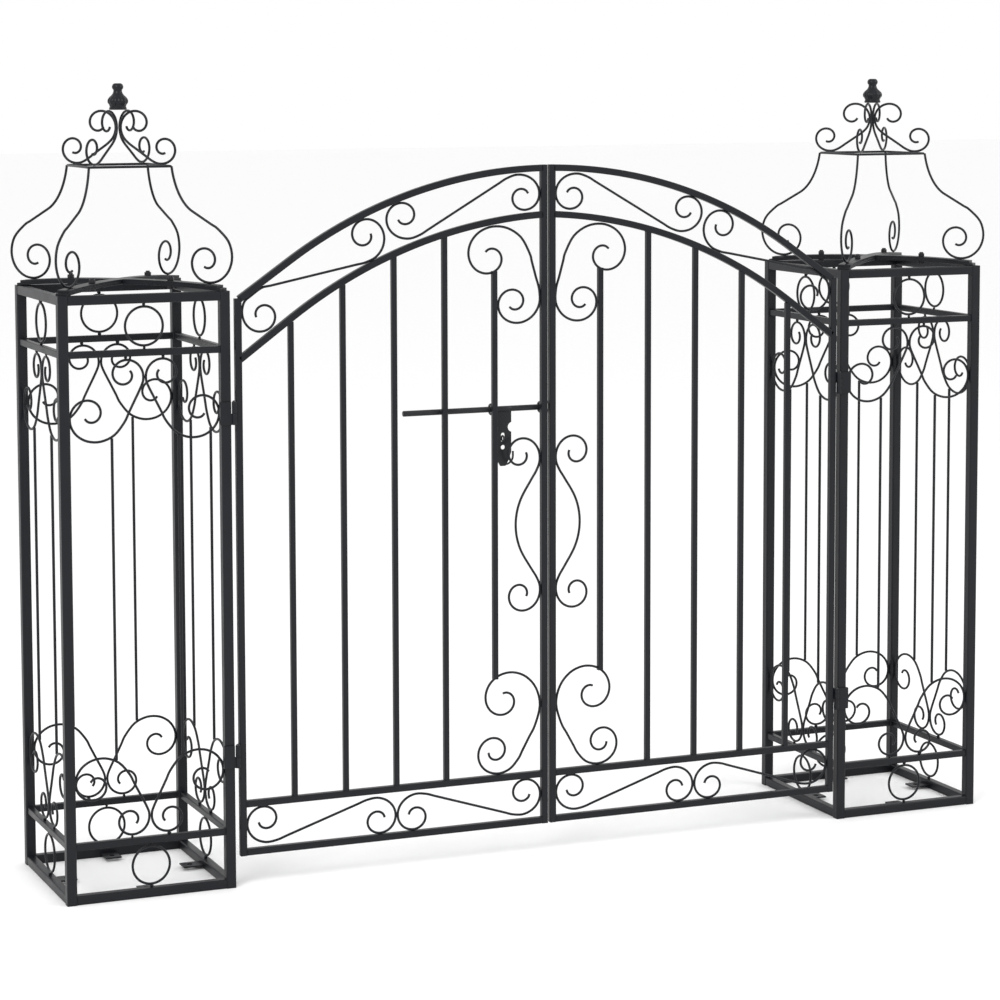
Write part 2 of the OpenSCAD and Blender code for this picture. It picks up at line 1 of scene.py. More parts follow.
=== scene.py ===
import math
import bpy
import bmesh
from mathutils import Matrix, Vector


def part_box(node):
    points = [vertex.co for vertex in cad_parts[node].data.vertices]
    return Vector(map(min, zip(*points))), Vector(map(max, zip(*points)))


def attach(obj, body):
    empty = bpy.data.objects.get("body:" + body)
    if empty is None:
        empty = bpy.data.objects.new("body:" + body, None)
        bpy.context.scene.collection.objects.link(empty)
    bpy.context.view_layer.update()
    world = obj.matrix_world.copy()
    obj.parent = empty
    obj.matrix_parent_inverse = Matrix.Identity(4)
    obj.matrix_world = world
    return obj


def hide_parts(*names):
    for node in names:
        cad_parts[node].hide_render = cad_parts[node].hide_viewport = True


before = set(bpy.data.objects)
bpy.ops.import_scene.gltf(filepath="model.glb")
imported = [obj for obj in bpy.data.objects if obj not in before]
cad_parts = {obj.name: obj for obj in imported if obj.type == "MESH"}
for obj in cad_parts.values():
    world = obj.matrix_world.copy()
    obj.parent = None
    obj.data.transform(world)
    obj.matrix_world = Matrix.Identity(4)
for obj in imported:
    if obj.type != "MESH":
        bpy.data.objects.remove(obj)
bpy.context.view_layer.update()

# ---- Corner posts --------------------------------------------------------
# Each pillar stands on four posts of square steel tube with rolled edges.
# The frame is welded up first and powder coated black as one piece.

post = 0.012
coat_black = (0.0068, 0.0076, 0.0100, 1)
coat_dusty = (0.0150, 0.0160, 0.0190, 1)


class Shade:
    """One value in a material, so that surface rules read as sums."""

    def __init__(self, tree, socket=None):
        self.tree = tree
        self.socket = socket

    def node(self, kind, settings=None, values=None, out=0):
        """Adds a node; its settings come first, then the values or links of its sockets."""
        made = self.tree.nodes.new(kind)
        for name, value in (settings or {}).items():
            setattr(made, name, value)
        for name, value in (values or {}).items():
            if isinstance(value, Shade):
                self.tree.links.new(value.socket, made.inputs[name])
            else:
                made.inputs[name].default_value = value
        return Shade(self.tree, made.outputs[out])

    def sum(self, operation, first, second, clip=False):
        settings = {"operation": operation, "use_clamp": clip}
        return self.node("ShaderNodeMath", settings, {0: first, 1: second})

    def __add__(self, other):
        return self.sum("ADD", self, other)

    def __radd__(self, other):
        return self.sum("ADD", other, self)

    def __sub__(self, other):
        return self.sum("SUBTRACT", self, other)

    def __rsub__(self, other):
        return self.sum("SUBTRACT", other, self)

    def __mul__(self, other):
        return self.sum("MULTIPLY", self, other)

    def __rmul__(self, other):
        return self.sum("MULTIPLY", other, self)

    def clip(self):
        return self.sum("ADD", self, 0.0, clip=True)

    def noise(self, scale, detail, rough=0.5):
        values = {"Vector": self, "Scale": scale, "Detail": detail, "Roughness": rough}
        return self.node("ShaderNodeTexNoise", None, values)

    def blend(self, amount, low, high):
        values = {0: amount, 6: low, 7: high}
        return self.node("ShaderNodeMix", {"data_type": "RGBA"}, values, out=2)

    def feed(self, name):
        shader = self.tree.nodes["Principled BSDF"]
        self.tree.links.new(self.socket, shader.inputs[name])


def powder_coat(name, black, dusty, gloss, peel_scale):
    """Baked powder: fine orange peel, dust on what faces up, a gloss that drifts a little."""
    made = bpy.data.materials.new(name)
    made.use_nodes = True
    made.node_tree.nodes["Principled BSDF"].inputs["Specular IOR Level"].default_value = 0.22
    start = Shade(made.node_tree)
    place = start.node("ShaderNodeTexCoord", out="Object")
    facing = start.node("ShaderNodeTexCoord", out="Normal")
    up = facing.node("ShaderNodeSeparateXYZ", None, {0: facing}, out=2)
    peel = place.noise(peel_scale, 2.0)
    cloud = place.noise(23.0, 4.0, 0.6)
    grit = place.noise(peel_scale * 3.1, 1.0)
    dust = ((cloud - 0.45) * 1.6 + up * 0.35).clip()
    specks = ((grit - 0.66) * 7.0).clip()
    place.blend(dust * 0.55 + specks * 0.3, black, dusty).feed("Base Color")
    (gloss + (cloud - 0.5) * 0.16 + dust * 0.08 + (peel - 0.5) * 0.06).feed("Roughness")
    values = {"Strength": 0.35, "Distance": 0.00012, "Height": peel + grit * 0.25}
    place.node("ShaderNodeBump", None, values).feed("Normal")
    return made


tube_coat = powder_coat("tube_powder_coat", coat_black, coat_dusty, 0.36, 620.0)


def start_tree(name, sizes):
    """A geometry tree with named sizes and a material; returns the tree and its first node."""
    tree = bpy.data.node_groups.new(name, "GeometryNodeTree")
    tree.interface.new_socket("Geometry", in_out="INPUT", socket_type="NodeSocketGeometry")
    for label in sizes:
        tree.interface.new_socket(label, in_out="INPUT", socket_type="NodeSocketFloat")
    tree.interface.new_socket("Coat", in_out="INPUT", socket_type="NodeSocketMaterial")
    tree.interface.new_socket("Geometry", in_out="OUTPUT", socket_type="NodeSocketGeometry")
    return tree, tree.nodes.new("NodeGroupInput")


def end_tree(tree, given, last):
    """Closes a tree: real geometry in the coat it is given."""
    real = tree.nodes.new("GeometryNodeRealizeInstances")
    coated = tree.nodes.new("GeometryNodeSetMaterial")
    out = tree.nodes.new("NodeGroupOutput")
    tree.links.new(last, real.inputs[0])
    tree.links.new(real.outputs[0], coated.inputs["Geometry"])
    tree.links.new(given.outputs["Coat"], coated.inputs["Material"])
    tree.links.new(coated.outputs[0], out.inputs[0])
    return tree


def tube_tree():
    """Square tube with rolled edges along every line of a mesh."""
    tree, given = start_tree("square_tube", ["Side", "Edge"])
    way = tree.nodes.new("GeometryNodeMeshToCurve")
    level = tree.nodes.new("GeometryNodeSetCurveNormal")
    level.mode = "Z_UP"
    square = tree.nodes.new("GeometryNodeCurvePrimitiveQuadrilateral")
    rolled = tree.nodes.new("GeometryNodeFilletCurve")
    rolled.mode = "POLY"
    rolled.inputs["Count"].default_value = 3
    swept = tree.nodes.new("GeometryNodeCurveToMesh")
    swept.inputs["Fill Caps"].default_value = True
    join = tree.links.new
    join(given.outputs["Geometry"], way.inputs["Mesh"])
    join(way.outputs[0], level.inputs["Curve"])
    join(given.outputs["Side"], square.inputs["Width"])
    join(given.outputs["Side"], square.inputs["Height"])
    join(square.outputs[0], rolled.inputs["Curve"])
    join(given.outputs["Edge"], rolled.inputs["Radius"])
    join(level.outputs[0], swept.inputs["Curve"])
    join(rolled.outputs[0], swept.inputs["Profile Curve"])
    return end_tree(tree, given, swept.outputs[0])


square_tube = tube_tree()


def grow(name, tree, points, edges, sizes, coat):
    """Runs a tree on a mesh of points and edges, and keeps the result as a plain mesh."""
    mesh = bpy.data.meshes.new(name)
    mesh.from_pydata(points, edges, [])
    piece = bpy.data.objects.new(name, mesh)
    bpy.context.collection.objects.link(piece)
    maker = piece.modifiers.new("maker", "NODES")
    maker.node_group = tree
    keys = {s.name: s.identifier for s in tree.interface.items_tree if s.in_out == "INPUT"}
    for label, value in sizes.items():
        maker[keys[label]] = value
    maker[keys["Coat"]] = coat
    seen = piece.evaluated_get(bpy.context.evaluated_depsgraph_get())
    piece.data = bpy.data.meshes.new_from_object(seen)
    piece.modifiers.clear()
    return piece


def lay(name, tree, lines, sizes, coat):
    """Lays a bar or wire along lines of points; a line that ends where it starts is a ring."""
    points = []
    edges = []
    for line in lines:
        ring = (Vector(line[0]) - Vector(line[-1])).length < 1e-7
        first = len(points)
        points += [tuple(p) for p in (line[:-1] if ring else line)]
        edges += [(i, i + 1) for i in range(first, len(points) - 1)]
        if ring:
            edges.append((len(points) - 1, first))
    return grow(name, tree, points, edges, sizes, coat)


def finish_piece(piece, body, slot, *nodes):
    """Turns the faces outwards, hands the piece to its body and hides the nodes it stands in for;
    the slot is not used.
    """
    work = bmesh.new()
    work.from_mesh(piece.data)
    bmesh.ops.recalc_face_normals(work, faces=work.faces)
    work.to_mesh(piece.data)
    work.free()
    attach(piece, body)
    if nodes:
        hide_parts(*nodes)
    return piece


def lay_tubes(name, lines, side, body, *nodes):
    """Square tubes: flat sides stay flat, only the rolled edges are smooth."""
    edge = side * 0.13
    piece = lay(name, square_tube, lines, {"Side": side, "Edge": edge}, tube_coat)
    points = piece.data.vertices
    for face in piece.data.polygons:
        ring = [points[i].co for i in face.vertices]
        narrow = min((a - b).length for a, b in zip(ring, ring[1:] + ring[:1]))
        face.use_smooth = len(ring) == 4 and narrow < edge
    return finish_piece(piece, body, "tube_coat", *nodes)


hands = ("left", "right")
half = (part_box("left_posts")[1].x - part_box("left_posts")[0].x) / 2
inner = half - post
side_y = half - post / 2


def middle(node):
    low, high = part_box(node)
    return (low + high) / 2


def on_sides(line, centre):
    """A line drawn on the front of a pillar, repeated on its four sides."""
    around = []
    for turn in range(4):
        c, s = round(math.cos(turn * math.pi / 2)), round(math.sin(turn * math.pi / 2))
        around.append([(centre + c * x - s * y, s * x + c * y, z) for x, y, z in line])
    return around


for hand in hands:
    low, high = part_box(hand + "_posts")
    centre = middle(hand + "_posts").x
    posts = [[(centre + x * side_y, y * side_y, low.z), (centre + x * side_y, y * side_y, high.z)]
             for x in (-1, 1) for y in (-1, 1)]
    lay_tubes(hand + "_post_tubes", posts, post, "pillars", hand + "_posts")

# ---- Pillar rails --------------------------------------------------------
# Two rails of square tube close each side at its top and its bottom, with a
# lighter one inside of each. They are butt welded between the posts.

frame_rail = 0.011
inner_rail = 0.008

for hand in hands:
    centre = middle(hand + "_posts").x
    for kind, rail in (("_frame_rails", frame_rail), ("_inner_rails", inner_rail)):
        low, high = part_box(hand + kind)
        lines = []
        for z in (low.z + rail / 2, high.z - rail / 2):
            lines += on_sides([(-inner, -side_y, z), (inner, -side_y, z)], centre)
        lay_tubes(hand + kind + "_tubes", lines, rail, "pillars", hand + kind)

# ---- Rings between the rails ---------------------------------------------
# A closed ring of round wire sits in the band between two rails, bent cold,
# butt welded, and held to both rails by a short weld.

wire = 0.003
stub = 0.0025
coat_wire = powder_coat("wire_powder_coat", coat_black, coat_dusty, 0.33, 760.0)


def wire_tree():
    """Round wire along every line of a mesh, with its bends drawn smooth."""
    tree, given = start_tree("round_wire", ["Thickness", "Bends"])
    way = tree.nodes.new("GeometryNodeMeshToCurve")
    bent = tree.nodes.new("GeometryNodeCurveSplineType")
    bent.spline_type = "CATMULL_ROM"
    fine = tree.nodes.new("GeometryNodeSetSplineResolution")
    thin = tree.nodes.new("ShaderNodeMath")
    thin.operation = "MULTIPLY"
    thin.inputs[1].default_value = 0.5
    circle = tree.nodes.new("GeometryNodeCurvePrimitiveCircle")
    circle.inputs["Resolution"].default_value = 12
    swept = tree.nodes.new("GeometryNodeCurveToMesh")
    swept.inputs["Fill Caps"].default_value = True
    join = tree.links.new
    join(given.outputs["Geometry"], way.inputs["Mesh"])
    join(way.outputs[0], bent.inputs["Curve"])
    join(bent.outputs[0], fine.inputs["Geometry"])
    join(given.outputs["Bends"], fine.inputs["Resolution"])
    join(given.outputs["Thickness"], thin.inputs[0])
    join(thin.outputs[0], circle.inputs["Radius"])
    join(fine.outputs[0], swept.inputs["Curve"])
    join(circle.outputs[0], swept.inputs["Profile Curve"])
    return end_tree(tree, given, swept.outputs[0])


round_wire = wire_tree()


def lay_wires(name, lines, thick, body, *nodes, bends=4):
    """Round wires: the sides are smooth, the cut ends stay flat."""
    piece = lay(name, round_wire, lines, {"Thickness": thick, "Bends": float(bends)}, coat_wire)
    for face in piece.data.polygons:
        face.use_smooth = len(face.vertices) == 4
    return finish_piece(piece, body, "wire_coat", *nodes)


def circle(radius, steps=24):
    turns = [2 * math.pi * (i % steps) / steps for i in range(steps + 1)]
    return [(radius * math.cos(a), radius * math.sin(a)) for a in turns]


for hand in hands:
    low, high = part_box(hand + "_rings")
    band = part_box(hand + "_inner_rails")[0].z - low.z
    radius = band / 2 - stub - wire / 2
    lines = []
    for z in (low.z + band / 2, high.z - band / 2):
        ring = [(x, -side_y, z + dz) for x, dz in circle(radius)]
        lines += on_sides(ring, middle(hand + "_posts").x)
    lay_wires(hand + "_ring_wire", lines, wire, "pillars", hand + "_rings")

# ---- Pillar scrolls ------------------------------------------------------
# C scrolls of round wire in pairs under the upper inner rails and over the
# lower ones. The large curl leans on the post and the small one on the rail.

run_step = 12


def arm(start, heading, run, first, last, turn, steps):
    """A wire that runs straight, then curls with a shrinking radius; angles in degrees.

    The straight run has points on its way, so that the smooth bends stay where they are.
    """
    x, z = start
    out = (math.cos(math.radians(heading)), math.sin(math.radians(heading)))
    parts = max(1, math.ceil(run / run_step))
    line = [(x + run * i / parts * out[0], z + run * i / parts * out[1])
            for i in range(1, parts + 1)]
    x, z = line[-1]
    step = turn / steps
    for i in range(steps):
        along = math.radians(heading + (i + 0.5) * step)
        reach = first * (last / first) ** ((i + 0.5) / steps) if first else 0.0
        reach *= 2 * abs(math.sin(math.radians(step / 2)))
        x += reach * math.cos(along)
        z += reach * math.sin(along)
        line.append((x, z))
    return line


def scroll(heading, up, down, steps=18):
    """A curl at each end; each end is run, first radius, last radius, turn."""
    back = arm((0, 0), heading + 180, *down, steps)
    return back[::-1] + arm((0, 0), heading, *up, steps)


def fitted(line, x0, x1, z0, z1):
    """Stretches a wire's middle line so that the wire fills a box."""
    xs = [p[0] for p in line]
    zs = [p[1] for p in line]
    kx = (x1 - x0 - wire) / (max(xs) - min(xs))
    kz = (z1 - z0 - wire) / (max(zs) - min(zs))
    return [(x0 + wire / 2 + kx * (x - min(xs)), z0 + wire / 2 + kz * (z - min(zs)))
            for x, z in line]


def crossings(line, x):
    """Heights at which a line crosses the upright line at x."""
    return [a[1] + (b[1] - a[1]) * (x - a[0]) / (b[0] - a[0])
            for a, b in zip(line, line[1:]) if (a[0] - x) * (b[0] - x) <= 0 and a[0] != b[0]]


pillar_scroll_h = 0.096
pillar_curl = scroll(64, (12, 24, 8, 430), (35, 42, 7.5, -489))

for hand in hands:
    low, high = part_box(hand + "_scrolls")
    top = high.z - stub
    half_pair = fitted(pillar_curl, -inner, 0, top - pillar_scroll_h, top)
    lines = []
    for mirror in (1, -1):
        for z0, flip in ((0, 1), (low.z + high.z, -1)):
            side = [(mirror * x, -side_y, z0 + flip * z) for x, z in half_pair]
            lines += on_sides(side, middle(hand + "_posts").x)
    lay_wires(hand + "_scroll_wire", lines, wire, "pillars", hand + "_scrolls")

# ---- Long rods -----------------------------------------------------------
# Two straight rods on each side of a pillar join the upper scrolls to the
# lower ones. They are slightly thicker than the wire and welded at each end.

rod = 0.0035
rod_x = 0.040

for hand in hands:
    low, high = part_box(hand + "_rods")
    lines = []
    for x in (-rod_x, rod_x):
        side = [(x, -side_y, low.z), (x, -side_y, high.z)]
        lines += on_sides(side, middle(hand + "_posts").x)
    lay_wires(hand + "_rod_wire", lines, rod, "pillars", hand + "_rods", bends=1)

# ---- Flat work: anchor tabs and crosses ----------------------------------
# Tabs and crosses are cut from flat bar, with drilled holes. The tabs are
# welded on, and the crosses are arched and then bolted through both bars.

flat_edge = 0.0003
merged = 0.000005
sharp = math.radians(40)
flat_coat = powder_coat("flat_powder_coat", coat_black, coat_dusty, 0.38, 540.0)


def ease_edges(node, width, coat):
    """Keeps a cut or drilled piece as it is, with its sharp edges broken and a coat."""
    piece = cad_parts[node]
    weld = piece.modifiers.new("joined", "WELD")
    weld.merge_threshold = merged
    eased = piece.modifiers.new("eased", "BEVEL")
    eased.width = width
    eased.segments = 2
    eased.limit_method = "ANGLE"
    eased.angle_limit = sharp
    piece.data.materials.clear()
    piece.data.materials.append(coat)
    return piece


for hand in hands:
    for kind in ("_anchor_tabs", "_top_cross", "_crown_cross"):
        ease_edges(hand + kind, flat_edge, flat_coat)

# ---- Crown legs ----------------------------------------------------------
# Four wire legs stand on the crown's cross on its diagonals. Each ends in a
# curl at the foot, sweeps out past the post and leans in to the ring.


def on_diagonals(line, centre):
    """A line of distance and height, repeated on the four diagonals of a pillar."""
    around = []
    for turn in (45, 135, 225, 315):
        c, s = math.cos(math.radians(turn)), math.sin(math.radians(turn))
        around.append([(centre + c * r, s * r, z) for r, z in line])
    return around


leg_curl = scroll(-31, (20, 42.7, 8.1, -541.5), (20, 28, 140, -51))

for hand in hands:
    low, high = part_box(hand + "_crown_legs")
    ring_low, ring_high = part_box(hand + "_crown_ring")
    centre = middle(hand + "_posts").x
    crown_corner = math.sqrt(2) * ((ring_high.x - ring_low.x) / 2 - wire / 2)
    leg_reach = math.sqrt(2) * (high.x - centre) - wire / 2
    leg = fitted(leg_curl, crown_corner - wire / 2, leg_reach, low.z, ring_low.z + wire)
    lay_wires(hand + "_crown_leg_wire", on_diagonals(leg, centre), wire, "pillars",
              hand + "_crown_legs")

# ---- Crown ring ----------------------------------------------------------
# A square of round wire joins the tops of the legs. It is one length, bent
# at three corners and welded at the fourth.

corner_bend = 0.004

for hand in hands:
    low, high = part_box(hand + "_crown_ring")
    centre = middle(hand + "_posts").x
    reach = (high.x - low.x) / 2 - wire / 2
    z = (low.z + high.z) / 2
    line = []
    for turn in range(4):
        for part in range(5):
            a = turn * math.pi / 2 + part * math.pi / 8
            mid = math.pi / 4 + turn * math.pi / 2
            x = math.sqrt(2) * (reach - corner_bend) * math.cos(mid) + corner_bend * math.cos(a)
            y = math.sqrt(2) * (reach - corner_bend) * math.sin(mid) + corner_bend * math.sin(a)
            line.append((centre + x, y, z))
    line.append(line[0])
    lay_wires(hand + "_crown_ring_wire", [line], wire, "pillars", hand + "_crown_ring", bends=1)

# ---- Crown scrolls -------------------------------------------------------
# Four scrolls start in a curl over the ring's corners, sweep in and rise to
# meet under the finial, each with a second curl that hangs at the top.

scroll_gap = 0.0007
crown_curl = scroll(144, (2.5, 28.5, 7.4, -392), (34.5, 23, 6.8, 423))

for hand in hands:
    low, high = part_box(hand + "_crown_scrolls")
    centre = middle(hand + "_posts").x
    reach = math.sqrt(2) * (high.x - centre) - wire / 2
    line = fitted(crown_curl, wire / 2 + scroll_gap, reach, low.z, high.z)
    lay_wires(hand + "_crown_scroll_wire", on_diagonals(line, centre), wire, "pillars",
              hand + "_crown_scrolls")

# ---- Finials -------------------------------------------------------------
# A small cast knob, welded on top of the four scrolls: a foot, a fluted
# belly, a slim neck and a round top.

flutes = 12
flute_steps = 8
flute_depth = 0.075
flute_foot = 0.12
flute_span = 0.46
knob = [(0.8, 0), (0.84, 0.05), (0.76, 0.12), (0.84, 0.2), (0.97, 0.26), (1, 0.34),
        (0.93, 0.42), (0.78, 0.49), (0.58, 0.56), (0.47, 0.62), (0.4, 0.7), (0.42, 0.76),
        (0.52, 0.81), (0.54, 0.88), (0.46, 0.96), (0.3, 1)]


def fluted(share):
    """How deep the flutes are at a height: only on the belly."""
    along = min(1.0, max(0.0, (share - flute_foot) / flute_span))
    return flute_depth * max(0.0, math.sin(math.pi * along))


def kept_mesh(name, work, coat):
    """Makes a piece of a worked mesh, in its coat."""
    mesh = bpy.data.meshes.new(name)
    work.to_mesh(mesh)
    work.free()
    piece = bpy.data.objects.new(name, mesh)
    bpy.context.collection.objects.link(piece)
    piece.data.materials.append(coat)
    return piece


for hand in hands:
    low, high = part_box(hand + "_finial")
    centre = (low + high) / 2
    around = flutes * flute_steps
    tall = high.z - low.z
    work = bmesh.new()
    rings = []
    for share_r, share_z in knob:
        depth = fluted(share_z)
        ring = []
        for i in range(around):
            a = 2 * math.pi * i / around
            r = (high.x - low.x) / 2 * share_r * (1 - depth * (1 - abs(math.cos(flutes * a / 2))))
            ring.append(work.verts.new((centre.x + r * math.cos(a), centre.y + r * math.sin(a),
                                        low.z + tall * share_z)))
        rings.append(ring)
    for lower, upper in zip(rings, rings[1:]):
        for i in range(around):
            j = (i + 1) % around
            work.faces.new((lower[i], lower[j], upper[j], upper[i])).smooth = True
    work.faces.new(rings[0][::-1])
    work.faces.new(rings[-1])
    piece = kept_mesh(hand + "_finial_knob", work, coat_wire)
    finish_piece(piece, "pillars", "wire_coat", hand + "_finial")

# ---- Crown bolts and nuts ------------------------------------------------
# Small hexagon bolts go up through both crosses from below, four to each
# crown, with a nut on top. They are blackened steel, a little brighter.

bolt_d = 0.005
across = 0.0085
head_h = 0.0033
nut_h = 0.004
bolt_r = 0.067


def black_steel(name, dark, bright, gloss):
    """Blackened steel: oiled and dark, with rubbed bright spots on its high places."""
    made = bpy.data.materials.new(name)
    made.use_nodes = True
    made.node_tree.nodes["Principled BSDF"].inputs["Metallic"].default_value = 0.85
    start = Shade(made.node_tree)
    place = start.node("ShaderNodeTexCoord", out="Object")
    rub = place.noise(310.0, 5.0, 0.65)
    grain = place.noise(1900.0, 2.0)
    worn = ((rub - 0.56) * 5.0).clip()
    place.blend(worn * 0.6, dark, bright).feed("Base Color")
    (gloss - worn * 0.1 + (grain - 0.5) * 0.15).feed("Roughness")
    values = {"Strength": 0.3, "Distance": 0.00008, "Height": grain + rub}
    place.node("ShaderNodeBump", None, values).feed("Normal")
    return made


fastener_steel = black_steel("fastener_steel", (0.035, 0.035, 0.038, 1),
                             (0.16, 0.16, 0.165, 1), 0.42)


def hexagon_tree():
    """A hexagon with a chamfered face and a round shank on every point of a mesh."""
    tree, given = start_tree("hexagon_head", ["Radius", "Depth", "Shank", "Length", "Lift"])
    join = tree.links.new
    parts = tree.nodes.new("GeometryNodeJoinGeometry")
    for sides, wide, deep in ((6, "Radius", "Depth"), (20, "Shank", "Length")):
        rod_part = tree.nodes.new("GeometryNodeMeshCylinder")
        rod_part.inputs["Vertices"].default_value = sides
        join(given.outputs[wide], rod_part.inputs["Radius"])
        join(given.outputs[deep], rod_part.inputs["Depth"])
        shift = tree.nodes.new("ShaderNodeCombineXYZ")
        moved = tree.nodes.new("GeometryNodeTransform")
        join(rod_part.outputs["Mesh"], moved.inputs["Geometry"])
        if deep == "Length":
            join(given.outputs["Lift"], shift.inputs["Z"])
        join(shift.outputs[0], moved.inputs["Translation"])
        join(moved.outputs[0], parts.inputs[0])
    spread = tree.nodes.new("GeometryNodeInstanceOnPoints")
    join(given.outputs["Geometry"], spread.inputs["Points"])
    join(parts.outputs[0], spread.inputs["Instance"])
    return end_tree(tree, given, spread.outputs[0])


hexagon = hexagon_tree()


def set_screws(name, z, sizes, node):
    """Hexagons at the four bolt places of both crowns."""
    spots = []
    for hand in hands:
        spots += [line[0] for line in on_diagonals([(bolt_r, z)], middle(hand + "_posts").x)]
    piece = grow(name, hexagon, spots, [], sizes, fastener_steel)
    eased = piece.modifiers.new("eased", "BEVEL")
    eased.width = flat_edge
    eased.segments = 2
    eased.limit_method = "ANGLE"
    return finish_piece(piece, "pillars", "fastener", node)


low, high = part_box("crown_bolts")
shank = high.z - low.z - head_h
set_screws("hexagon_bolts", low.z + head_h / 2,
           {"Radius": across / 2, "Depth": head_h, "Shank": bolt_d / 2, "Length": shank,
            "Lift": head_h / 2 + shank / 2}, "crown_bolts")
set_screws("hexagon_nuts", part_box("crown_nuts")[0].z + nut_h / 2,
           {"Radius": across / 2, "Depth": nut_h, "Shank": bolt_d / 2, "Length": nut_h * 0.98,
            "Lift": 0.0}, "crown_nuts")

# ---- Hinges --------------------------------------------------------------
# Each leaf hangs on two small hinges of bent plate. The lower knuckle is on
# the post's strap, the upper one on the leaf, and a steel pin joins them.

small_edge = 0.0002
pin_steel = black_steel("pin_steel", (0.045, 0.045, 0.048, 1), (0.22, 0.22, 0.225, 1), 0.34)

for hand in hands:
    ease_edges(hand + "_hinge_straps", flat_edge, flat_coat)
    ease_edges(hand + "_knuckles", small_edge, flat_coat)
    ease_edges(hand + "_hinge_pins", small_edge, pin_steel)

# ---- Leaf stiles ---------------------------------------------------------
# Each leaf has two upright square tubes, cut off at the top arch. The pair
# in the middle of the gate meets with a narrow gap.

leaf_tube = 0.008
leaf_body = {"left": "left_leaf", "right": "right_leaf"}
way_out = {"left": -1, "right": 1}
right_low, right_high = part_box("right_meeting_stile")
leaf_x0 = right_low.x
leaf_x1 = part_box("right_hinge_stile")[1].x
leaf_top = right_high.z
leaf_y = (right_low.y + right_high.y) / 2
stile_x0 = leaf_x0 + leaf_tube
stile_x1 = leaf_x1 - leaf_tube


def on_leaf(line, hand):
    """A line of x and z on the leaf that opens to the right, or its mirror."""
    return [(way_out[hand] * x, leaf_y, z) for x, z in line]


for hand in hands:
    for kind in ("_hinge_stile", "_meeting_stile"):
        low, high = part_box(hand + kind)
        x = (low.x + high.x) / 2
        lay_tubes(hand + kind + "_tube", [[(x, leaf_y, low.z), (x, leaf_y, high.z)]], leaf_tube,
                  leaf_body[hand], hand + kind)

# ---- Arches --------------------------------------------------------------
# Two square tubes on each leaf are rolled to one arch over the whole gate,
# round over the middle and straight towards the posts.

arch_r = 0.586
arch_half = 0.333
arch_band = 0.056
arch_band_side = 0.071
arch_crown = leaf_top + arch_r * (1 - math.cos(math.asin(leaf_x0 / arch_r)))


def arch_z(x):
    """Upper edge of the upper arch."""
    lean = math.asin(min(x, arch_half) / arch_r)
    return arch_crown - arch_r * (1 - math.cos(lean)) - math.tan(lean) * max(0.0, x - arch_half)


def tube_top(x, lower):
    """Upper edge of an arch; the lower one drops away towards the hinges."""
    return arch_z(x) - lower * (arch_band + (arch_band_side - arch_band) * x / leaf_x1)


def under_arch(x, lower):
    lean = math.asin(min(x, arch_half) / arch_r)
    return tube_top(x, lower) - leaf_tube / math.cos(lean)


arch_steps = 40
seat = 0.002
arch_from = stile_x0 - seat
arch_length = stile_x1 - stile_x0 + 2 * seat

for hand in hands:
    for kind, lower in (("_top_arch", 0), ("_lower_arch", 1)):
        xs = [arch_from + i * arch_length / arch_steps for i in range(arch_steps + 1)]
        line = [(x, (tube_top(x, lower) + under_arch(x, lower)) / 2) for x in xs]
        lay_tubes(hand + kind + "_tube", [on_leaf(line, hand)], leaf_tube, leaf_body[hand],
                  hand + kind)

# ---- Leaf rails ----------------------------------------------------------
# Two straight rails of the same tube, at the foot of the leaf and above the
# low band of scrolls.

for hand in hands:
    low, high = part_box(hand + "_leaf_rails")
    lines = [[(low.x, leaf_y, z), (high.x, leaf_y, z)]
             for z in (low.z + leaf_tube / 2, high.z - leaf_tube / 2)]
    lay_tubes(hand + "_leaf_rail_tubes", lines, leaf_tube, leaf_body[hand], hand + "_leaf_rails")

mid_rail_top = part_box("right_leaf_rails")[1].z

# ---- Corner scrolls ------------------------------------------------------
# C scrolls of round wire beside the meeting stile. They hold the short bar
# between them, one under the lower arch and one on the rail.

bar_count = 5
bar_w = 0.0065
stile_mid = leaf_x0 + leaf_tube / 2
bar_pitch = (leaf_x1 - leaf_x0 - leaf_tube) / (bar_count + 1)
first_bar = stile_mid + bar_pitch
corner_low, corner_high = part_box("right_corner_scrolls")
corner_top_h = 0.120
corner_low_h = 0.127
corner_step = 0.011
top_corner = fitted(scroll(-105, (6, 37, 8.4, 518), (42, 53, 9.3, -488)),
                    stile_x0, corner_high.x, corner_high.z - corner_top_h, corner_high.z)
low_corner = fitted(scroll(-61, (40, 34, 8.4, 513), (6, 55, 9.1, -502)),
                    stile_x0, corner_high.x - corner_step, corner_low.z, corner_low.z + corner_low_h)

for hand in hands:
    lay_wires(hand + "_corner_scroll_wire", [on_leaf(top_corner, hand), on_leaf(low_corner, hand)],
              wire, leaf_body[hand], hand + "_corner_scrolls")

# ---- Bars ----------------------------------------------------------------
# Five upright bars of slim square tube in each leaf. Four run from rail to
# arch, and the one by the meeting stile ends on the corner scrolls.

top_end = min(z for z in crossings(top_corner, first_bar) if z > corner_high.z - corner_top_h / 2)
low_end = max(crossings(low_corner, first_bar))
bar_seat = 0.001

for hand in hands:
    lines = [on_leaf([(first_bar, low_end), (first_bar, top_end)], hand)]
    for i in range(2, bar_count + 1):
        x = stile_mid + i * bar_pitch
        lines.append(on_leaf([(x, mid_rail_top), (x, under_arch(x, 1) + bar_seat)], hand))
    lay_tubes(hand + "_bar_tubes", lines, bar_w, leaf_body[hand], hand + "_bars")

# ---- Arch scrolls --------------------------------------------------------
# Two S scrolls lie end to end between the arches of each leaf, each with a
# long straight run between its curls.

